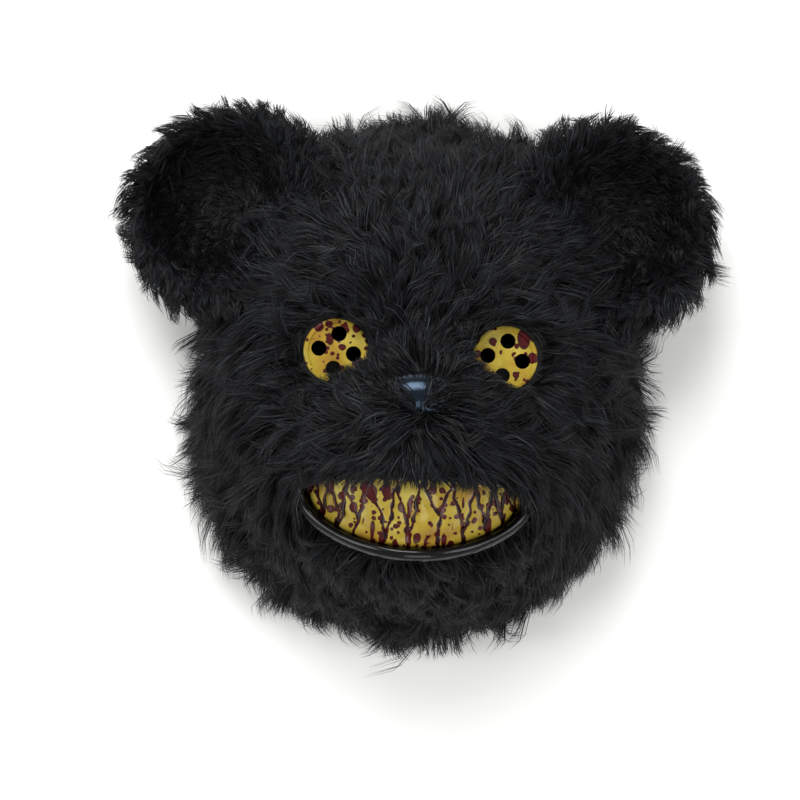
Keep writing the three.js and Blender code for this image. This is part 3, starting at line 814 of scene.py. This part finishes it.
for side, across in ear_across.items():
    ear = turned([(out * ear_radius, rise * ear_radius) for out, rise in rounded(ear_section)], 72)
    outward = Vector((across, ear_up, 0)).normalized()
    for vert in ear.verts:
        turn = math.atan2(vert.co.y, vert.co.x) + len(side)
        far = vert.co.xy.length / ear_radius
        if vert.normal.z > 0.1 and far < 0.8:
            vert.co += outward * ear_hollow_out[side] * (1 - (far / 0.8) ** 2) ** 0.5
        vert.co.z += ear_slump * far * far * (math.sin(2 * turn) + 0.6 * math.sin(5 * turn + 1))
    hinge = Vector((-outward.y, outward.x, 0))
    stand = Matrix.Translation((across, ear_up, ear_height)) @ Matrix.Rotation(ear_tilt, 4, hinge)
    bmesh.ops.transform(ear, matrix=stand, verts=ear.verts)
    for vert in ear.verts:
        near, normal, _, _ = hide_tree.find_nearest(vert.co)
        sunk = (vert.co - near).dot(normal)
        if sunk < ear_seat and near.z > hide_hem + 1 * MM:
            vert.co = near + normal * ear_seat
    ear.normal_update()
    pad = new_piece("ear_" + side + "_pad", ear, hide_material, ["ear_" + side])

    heart = np.array(stand @ Vector((0, 0, 0)))
    face = np.array(stand.to_3x3() @ Vector((0, 0, 1)))
    dice = np.random.default_rng(21 + len(side))
    roots, normals = scatter(pad.data, hairs_on_ear, dice)
    comb = ear_comb(heart, face, 1 if across < 0 else -1)
    lines = hair_lines(roots, normals, comb, wisps_on_ear, dice)
    above_floor(lines, dice)
    free = np.array([hide_tree.find_nearest(root)[3] > ear_join for root in roots])
    hollow = heart + np.array(outward) * ear_hollow_out[side]
    deep = np.linalg.norm(roots - hollow, axis=1) / ear_radius
    # Front hairs near the hollow get a low share of painted light. They are painted darker and without
    # painted glint, as painted shade in the cup.
    painted_light_share = np.where(normals @ face > 0.2, np.clip(1.7 * deep - 0.4, 0.12, 1), 1)
    name = "ear_" + side + "_fur"
    made = hair_mesh(name, lines[free], normals[free], hair_width, dice, painted_light_share[free])
    new_piece(name, made, fur_material, smooth=False)


# Button eyes. Each real one is a disc of yellow polystyrene, injection-moulded with a raised rim and
# four see-through holes, glued into the shell's socket and spattered with dark red paint.
yellow = "#aa9230"
yellow_pale = "#bcaa4e"
yellow_deep = "#997228"
paint_dark = "#330b0c"
paint_red = "#501417"
eye_rim = 2.6 * MM
eye_recess = 0.8 * MM
eye_hole = 3.5 * MM
eye_hole_circle = 8 * MM
eye_hole_turn = math.radians(-7)
eye_edge = 0.25 * MM
eye_drops = [(6.5, 0.9, 1.6), (3.6, 0.75, 1), (1.7, 0.4, 1)]
drop_reach = 0.43


def spattered(name, drops, seed):
    """A yellow plastic's material, its tree, its ground colour, and how deep drops of paint lie on it.

    The drops are given as size in mm, share of places that have one, and how far one has run.
    """
    material, tree = new_material(name)
    place = add(tree, "TexCoord").outputs["Object"]
    cloudy = add(tree, "TexNoise", {"Vector": place}, Scale=1 / (14 * MM), Detail=3)
    tints = [(0.3, yellow_deep), (0.48, yellow), (0.7, yellow_pale)]
    tint = ramped(tree, cloudy.outputs["Fac"], *tints)
    depths = []
    for i, (size, share, run) in enumerate(drops):
        moved = add(tree, "Mapping", {"Vector": place}, Location=(seed * 0.13 + i * 0.37, i * 0.11, 0))
        moved.inputs["Scale"].default_value = (1, 1 / run, 1)
        there = moved.outputs["Vector"]
        warp = add(tree, "TexNoise", {"Vector": there}, Scale=0.7 / (size * MM), Detail=1)
        bend = size * MM * 0.6
        bent = computed(tree, "VectorMath", "SCALE", warp.outputs["Color"], Scale=bend)
        shifted = computed(tree, "VectorMath", "ADD", there, bent.outputs["Vector"])
        cells = add(
            tree,
            "TexVoronoi",
            {"Vector": shifted.outputs["Vector"]},
            voronoi_dimensions="2D",
            Scale=0.6 / (size * MM),
            Randomness=0.7,
        )
        lot = add(tree, "SeparateColor", {"Color": cells.outputs["Color"]})
        chance = lot.outputs["Red"]
        reach = add(tree, "MapRange", {"Value": chance}, From_Min=1 - share, To_Max=drop_reach)
        far = cells.outputs["Distance"]
        depth = computed(tree, "Math", "SUBTRACT", reach.outputs["Result"], far)
        depths.append(depth.outputs["Value"])
    deepest = depths[0]
    for depth in depths[1:]:
        deepest = computed(tree, "Math", "MAXIMUM", deepest, depth).outputs["Value"]
    return material, tree, tint, deepest


def painted(tree, ground, depth):
    """Finishes a spattered material: glossy, with the paint standing a little proud."""
    drop = add(tree, "MapRange", {"Value": depth}, From_Min=-0.01, From_Max=0.03)
    thick = add(tree, "MapRange", {"Value": depth}, From_Min=0.0, From_Max=0.22)
    paint = blended(tree, thick.outputs["Result"], paint_dark, paint_red)
    shown = blended(tree, drop.outputs["Result"], ground, paint)
    bump = add(tree, "Bump", {"Height": drop.outputs["Result"]}, Strength=0.5, Distance=0.25 * MM)
    show_surface(
        tree,
        {"Base Color": shown, "Normal": bump.outputs["Normal"]},
        Roughness=0.2,
        IOR=1.5,
        Specular_IOR_Level=0.3,
    )


for side, (middle, half) in eye_places.items():
    radius, thick = half.x, half.z * 2
    inner = radius - eye_rim
    section = [(0, 0), (radius - 0.6 * MM, 0), (radius, 0.6 * MM), (radius, thick - 1.1 * MM)]
    section += [(radius - 0.35 * MM, thick - 0.35 * MM), (radius - 1.1 * MM, thick)]
    section += [(inner + 0.7 * MM, thick - 0.1 * MM), (inner, thick - eye_recess)]
    section += [(0, thick - eye_recess * 0.6)]
    button = turned(section, 72)
    bmesh.ops.translate(button, verts=button.verts, vec=(middle.x, middle.y, middle.z - half.z))
    # Moulded styrene: an even, slightly cloudy yellow with a wet gloss, under drops that stand proud.
    styrene = "moulded_yellow_styrene_" + side
    eye_material, tree, ground, depth = spattered(styrene, eye_drops, len(side))
    painted(tree, ground, depth)
    eye = new_piece("button_eye_" + side, button, eye_material, ["eye_" + side])
    drills = bmesh.new()
    for hole in range(4):
        angle = eye_hole_turn + hole * math.pi / 2
        spot = Vector((math.cos(angle), math.sin(angle), 0)) * eye_hole_circle + middle
        bmesh.ops.create_cone(
            drills,
            cap_ends=True,
            segments=32,
            radius1=eye_hole,
            radius2=eye_hole,
            depth=8 * MM,
            matrix=Matrix.Translation(spot),
        )
    drill_mesh = bpy.data.meshes.new("drills")
    drills.to_mesh(drill_mesh)
    drills.free()
    drill = bpy.data.objects.new("drills", drill_mesh)
    bpy.context.collection.objects.link(drill)
    cut = eye.modifiers.new("holes", "BOOLEAN")
    cut.object = drill
    cut.operation = "DIFFERENCE"
    soften = eye.modifiers.new("edges", "BEVEL")
    soften.width = eye_edge
    soften.segments = 2
    soften.angle_limit = math.radians(50)
    holed = bpy.data.meshes.new_from_object(eye.evaluated_get(bpy.context.evaluated_depsgraph_get()))
    eye.modifiers.clear()
    eye.data = holed
    bpy.data.objects.remove(drill)
    holed.shade_smooth()
    holed.set_sharp_from_angle(angle=math.radians(35))


# Nose. The real one is a small dome of glossy black ABS with two nostrils, glued on before the fur,
# which nearly buries it.
nose_colour = "#0c0e13"
nose_pebble = 1.6 * MM
nose_highlight = "#a9c8ee"

nose = bmesh.new()
bmesh.ops.create_uvsphere(nose, u_segments=64, v_segments=48, radius=1)
for vert in nose.verts:
    x, y, z = vert.co
    narrow = 1 - 0.22 * max(0, -y)
    nostril = 0.0
    if z > -0.2:
        for at in (-0.42, 0.42):
            nostril += math.exp(-(((x - at) / 0.2) ** 2) - ((y + 0.42) / 0.16) ** 2)
    groove = math.exp(-((x / 0.06) ** 2)) * max(0, -y) * 0.12
    vert.co = Vector((x * narrow, y, z)) * (1 - 0.28 * nostril - groove)
bmesh.ops.scale(nose, vec=nose_half, verts=nose.verts)
bmesh.ops.translate(nose, vec=nose_middle, verts=nose.verts)

# Moulded ABS with a fine pebble: its tip takes a small cool highlight, broken up at the edges.
nose_material, tree = new_material("moulded_glossy_black_abs")
place = add(tree, "TexCoord").outputs["Object"]
pebbles = add(tree, "TexVoronoi", {"Vector": place}, Scale=1 / nose_pebble)
bump = add(
    tree,
    "Bump",
    {"Height": pebbles.outputs["Distance"]},
    Strength=0.25,
    Distance=0.15 * MM,
    invert=True,
)
show_surface(
    tree,
    {"Normal": bump.outputs["Normal"]},
    Base_Color=linear(nose_colour),
    Roughness=0.2,
    IOR=1.53,
    Specular_Tint=linear(nose_highlight),
)
new_piece("nose_dome", nose, nose_material, ["nose"])


# Teeth plate. The real one is yellow polystyrene sheet, vacuum-formed with long pointed teeth that
# interlock, glued behind the mouth. Dark paint fills the gaps, and red paint is spattered and runs down.
plate_flange = 3.6 * MM
plate_wall = 1.8 * MM
gap_reach = 0.7 * MM
gap_run = 34 * MM
gap_lean = 0.6 * MM
gap_dip = 0.5 * MM
tooth_reach = 3 * MM
tooth_crown = 0.7 * MM
gap_colour = "#1c0607"
gap_edge = "#4a1013"
rim_flare = 1.8 * MM
flare_height = 16 * MM
plate_drops = [(4.4, 0.3, 1.4), (3, 0.5, 1), (1.7, 0.35, 1), (2.4, 0.3, 4)]

# The gaps between the teeth, in mm: a zigzag from the upper gums to the lower ones and back.
zigzag = [(-56, -50), (-50, -58), (-48, -46), (-43, -64), (-41, -45), (-35, -70), (-33, -50), (-27, -66)]
zigzag += [(-22, -44), (-13, -74), (-9, -47), (-2, -72), (3, -45), (12, -62), (18, -46), (24, -71)]
zigzag += [(29, -48), (34, -66), (38, -46), (41, -64), (44, -47), (47, -60), (50, -48), (56, -54)]


def mouth_edge(x, grown=0.0):
    """The mouth's lower and upper edge at x."""
    across = np.abs(x / (mouth_half + grown)) ** mouth_fullness
    full = np.maximum(1 - across, 0) ** (1 / mouth_fullness)
    return mouth_corner - full * (mouth_below + grown), mouth_corner + full * (mouth_above + grown)


def gap_distance(x, y):
    """How far points are from the nearest gap between teeth, which runs on from each of its corners."""
    x = x + 0.5 * MM * np.sin(y / (3.1 * MM)) + 0.35 * MM * np.sin(y / (1.3 * MM) + x / (4 * MM))
    corners = np.array(zigzag) * MM
    ends = list(zip(corners, corners[1:]))
    for i, corner in enumerate(corners[1:-1]):
        way = -1 if i % 2 == 0 else 1
        ends.append((corner, corner + np.array((gap_lean, way * gap_run))))
    nearest = np.full(x.shape, 1.0)
    for a, b in ends:
        along = b - a
        share = ((x - a[0]) * along[0] + (y - a[1]) * along[1]) / (along @ along)
        share = np.clip(share, 0, 1)
        far = np.hypot(x - a[0] - share * along[0], y - a[1] - share * along[1])
        nearest = np.minimum(nearest, far)
    return nearest


plate = bmesh.new()
bmesh.ops.create_grid(plate, x_segments=200, y_segments=76, size=1)
grid = np.array([vert.co[:] for vert in plate.verts])
x = (mouth_half + plate_flange) * np.sin(grid[:, 0] * math.pi / 2)
low, high = mouth_edge(x, plate_flange)
y = low + (grid[:, 1] + 1) / 2 * (high - low)
gap = gap_distance(x, y)
relief = tooth_crown * (1 - np.exp(-((gap / tooth_reach) ** 2)))
relief = relief - gap_dip * np.exp(-((gap / gap_reach) ** 2))
near_rim = np.exp(-(((in_mouth(x, y, 0) - 0.95) / 0.07) ** 2))
flare = near_rim * np.clip((mouth_corner - y) / flare_height, 0, 1)
relief = relief * (1 - flare) + rim_flare * flare
points, _ = muzzle(x, y, relief - plate_depth - tooth_crown)
near_gap = plate.verts.layers.float.new("gap")
for vert, point, distance in zip(plate.verts, points, gap):
    vert.co = point
    vert[near_gap] = distance / MM
bmesh.ops.remove_doubles(plate, verts=plate.verts, dist=1e-5)
bmesh.ops.recalc_face_normals(plate, faces=plate.faces)
if sum(face.normal.z for face in plate.faces) < 0:
    bmesh.ops.reverse_faces(plate, faces=plate.faces)

# Formed styrene: glossy yellow crowns that darken to red-black in the gaps, with drops and runs on top.
plate_material, tree, ground, depth = spattered("vacuum_formed_yellow_styrene", plate_drops, 3)
between = add(tree, "Attribute", attribute_name="gap").outputs["Fac"]
place = add(tree, "TexCoord").outputs["Object"]
smear = add(tree, "TexNoise", {"Vector": place}, Scale=1 / (5 * MM), Detail=2)
wide = add(tree, "MapRange", {"Value": smear.outputs["Fac"]}, From_Min=0.45, From_Max=0.7, To_Max=0.9)
edge = computed(tree, "Math", "SUBTRACT", between, wide.outputs["Result"])
filled = ramped(tree, edge.outputs["Value"], (0.2, gap_colour), (0.5, gap_edge))
open_gap = add(
    tree,
    "MapRange",
    {"Value": edge.outputs["Value"]},
    From_Min=0.5,
    From_Max=0.8,
    To_Min=1,
    To_Max=0,
)
painted(tree, blended(tree, open_gap.outputs["Result"], ground, filled), depth)
plate_piece = new_piece("teeth", plate, plate_material, ["teeth_plate"])
wall = plate_piece.modifiers.new("wall", "SOLIDIFY")
wall.thickness = plate_wall
wall.offset = -1


# Lip. The real one is a round bead of glossy black PVC, bent to the mouth's outline and glued to the
# shell's edge. Its lower side catches the light in one long streak.
lip_colour = "#08080a"
lip_half_width = 3.5 * MM
lip_top = 4.9 * MM
lip_stations = 160
lip_sides = 20

bead = bmesh.new()
turns = np.linspace(0, 2 * math.pi, lip_stations, endpoint=False)
rise = np.abs(np.sin(turns)) ** (2 / mouth_fullness) * np.sign(np.sin(turns))
lip_x = mouth_half * np.cos(turns)
lip_y = mouth_corner + np.where(rise > 0, rise * mouth_above, rise * mouth_below)
centres, outs = muzzle(lip_x, lip_y)
runs = unit(np.roll(centres, -1, axis=0) - np.roll(centres, 1, axis=0))
asides = unit(np.cross(runs, outs))
rings = []
for centre, out, aside in zip(centres, outs, asides):
    ring = bmesh.ops.create_circle(bead, segments=lip_sides, radius=1)["verts"]
    for vert in ring:
        lift = max(0.3 * MM, lip_top / 2 + vert.co.y * lip_top / 2)
        vert.co = Vector(centre + aside * vert.co.x * lip_half_width + out * lift)
    rings.append(list({edge for vert in ring for edge in vert.link_edges}))
for one, two in zip(rings, rings[1:] + rings[:1]):
    bmesh.ops.bridge_loops(bead, edges=one + two)
bmesh.ops.recalc_face_normals(bead, faces=bead.faces)

# Extruded PVC: a deep black with long, slightly wavering highlights along the bead.
lip_material, tree = new_material("extruded_glossy_black_pvc")
place = add(tree, "TexCoord").outputs["Object"]
dimples = add(tree, "TexNoise", {"Vector": place}, Scale=1 / (3 * MM), Detail=2)
bump = add(tree, "Bump", {"Height": dimples.outputs["Fac"]}, Strength=0.2, Distance=0.3 * MM)
show_surface(
    tree,
    {"Normal": bump.outputs["Normal"]},
    Base_Color=linear(lip_colour),
    Roughness=0.18,
    IOR=1.5,
    Specular_IOR_Level=0.3,
)
new_piece("lip_bead", bead, lip_material, ["lip"])


# Head strap. The real one is flat black elastic webbing, polyester ribs woven over rubber, with its ends
# held to the shell's side walls by a rivet each.
strap_route = [(83, 0.3), (86.3, 1), (89.2, 2.8), (91, 5.7)]
strap_route += [(91.7, 9), (90.2, 17), (88.4, 23.5), (86.1, 30)]
strap_low, strap_high = 8 * MM, 28 * MM
strap_steps = 20
strap_thickness = 1.6 * MM
strap_rib = 1.25 * MM
strap_weft = 1.1 * MM
# The dark colour is painted shade in the grooves, and the light one is painted light on the ribs' tops.
strap_groove_shade = "#08080a"
strap_rib_top_light = "#1b1b1e"
wave_repeat = math.pi / 10

band = bmesh.new()
route = [(-x, z) for x, z in reversed(strap_route)] + strap_route
spine = [band.verts.new((x * MM, strap_low, z * MM)) for x, z in route]
edge_row = [band.edges.new(pair) for pair in zip(spine, spine[1:])]
for step in range(strap_steps):
    grown = bmesh.ops.extrude_edge_only(band, edges=edge_row)["geom"]
    edge_row = [item for item in grown if isinstance(item, bmesh.types.BMEdge)]
    ahead = [item for item in grown if isinstance(item, bmesh.types.BMVert)]
    edge_row = [edge for edge in edge_row if all(vert in ahead for vert in edge.verts)]
    bmesh.ops.translate(band, verts=ahead, vec=(0, (strap_high - strap_low) / strap_steps, 0))
bmesh.ops.recalc_face_normals(band, faces=band.faces)
if sum(face.normal.z * face.calc_area() for face in band.faces) > 0:
    bmesh.ops.reverse_faces(band, faces=band.faces)

# Woven elastic: matt ribs across the band, with a faint bloom of loose fibre at a flat angle.
elastic, tree = new_material("woven_elastic_webbing")
place = add(tree, "TexCoord").outputs["Object"]
ribs = add(tree, "TexWave", {"Vector": place}, bands_direction="Y", Scale=wave_repeat / strap_rib)
weft = add(tree, "TexVoronoi", {"Vector": place}, Scale=1 / strap_weft)
relief = computed(tree, "Math", "SUBTRACT", ribs.outputs["Fac"], weft.outputs["Distance"])
bump = add(tree, "Bump", {"Height": relief.outputs["Value"]}, Strength=0.6, Distance=0.3 * MM)
# The colour follows the ribs: lighter on their tops and darker in the grooves between them, as painted
# light and shade.
shade = ramped(tree, ribs.outputs["Fac"], (0, strap_groove_shade), (1, strap_rib_top_light))
show_surface(
    tree,
    {"Base Color": shade, "Normal": bump.outputs["Normal"]},
    Roughness=0.8,
    Sheen_Weight=0.2,
)
strap = new_piece("elastic_strap", band, elastic, ["head_strap"])
wall = strap.modifiers.new("wall", "SOLIDIFY")
wall.thickness = strap_thickness
wall.offset = -1


# Rivets. Each real one is a tubular steel rivet, nickel-plated, pressed through the strap and the
# shell's wall and flared over on the inside.
nickel_colour = "#b9b5ac"

# Nickel plate: a warm grey mirror, dulled here and there by handling.
nickel, tree = new_material("nickel_plated_steel")
place = add(tree, "TexCoord").outputs["Object"]
scuffs = add(tree, "TexNoise", {"Vector": place}, Scale=1 / (1.5 * MM), Detail=4)
rough = add(tree, "MapRange", {"Value": scuffs.outputs["Fac"]}, To_Min=0.2, To_Max=0.5)
show_surface(
    tree,
    {"Roughness": rough.outputs["Result"]},
    Base_Color=linear(nickel_colour),
    Metallic=1,
)
for side in eye_places:
    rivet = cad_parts["rivet_" + side].data
    rivet.materials.clear()
    rivet.materials.append(nickel)


# Floor and light. A pale table top in a bright plain room, with a large soft light from the crown's
# side, weaker ones from the left and the right, and the weakest from the chin's side.
floor_half = 3000 * MM
board_white = "#f4f4f2"
room_strength = 0.4
light_side = 0.8
aimed_at = Vector((0, 0, 60 * MM))

floor_mesh = bmesh.new()
bmesh.ops.create_grid(floor_mesh, x_segments=1, y_segments=1, size=floor_half)
floor_data = bpy.data.meshes.new("floor")
floor_mesh.to_mesh(floor_data)
floor_mesh.free()
floor = bpy.data.objects.new("floor", floor_data)
bpy.context.collection.objects.link(floor)
# Painted board: matt and a touch warm, so that the mask's shadow stays soft on it.
floor_material, tree = new_material("matt_white_board")
show_surface(tree, {}, Base_Color=linear(board_white), Roughness=0.9)
floor_data.materials.append(floor_material)
floor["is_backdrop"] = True

room = bpy.data.worlds.new("room")
room.use_nodes = True
room.node_tree.nodes["Background"].inputs["Color"].default_value = (1, 1, 1, 1)
room.node_tree.nodes["Background"].inputs["Strength"].default_value = room_strength
bpy.context.scene.world = room


def soft_light(name, place, power):
    """A square studio light that faces the mask."""
    light = bpy.data.objects.new(name, bpy.data.lights.new(name, "AREA"))
    light.data.size = light_side
    light.data.energy = power
    light.location = place
    way = aimed_at - Vector(place)
    light.rotation_euler = way.to_track_quat("-Z", "Y").to_euler()
    bpy.context.collection.objects.link(light)


soft_light("crown_light", (-0.25, 1.0, 1.1), 21)
soft_light("left_light", (-1.3, -0.1, 1.0), 10)
soft_light("right_light", (1.3, -0.2, 1.0), 9)
soft_light("chin_light", (0.2, -1.3, 1.0), 6)
bpy.context.scene.view_settings.view_transform = "Standard"

low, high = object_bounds()
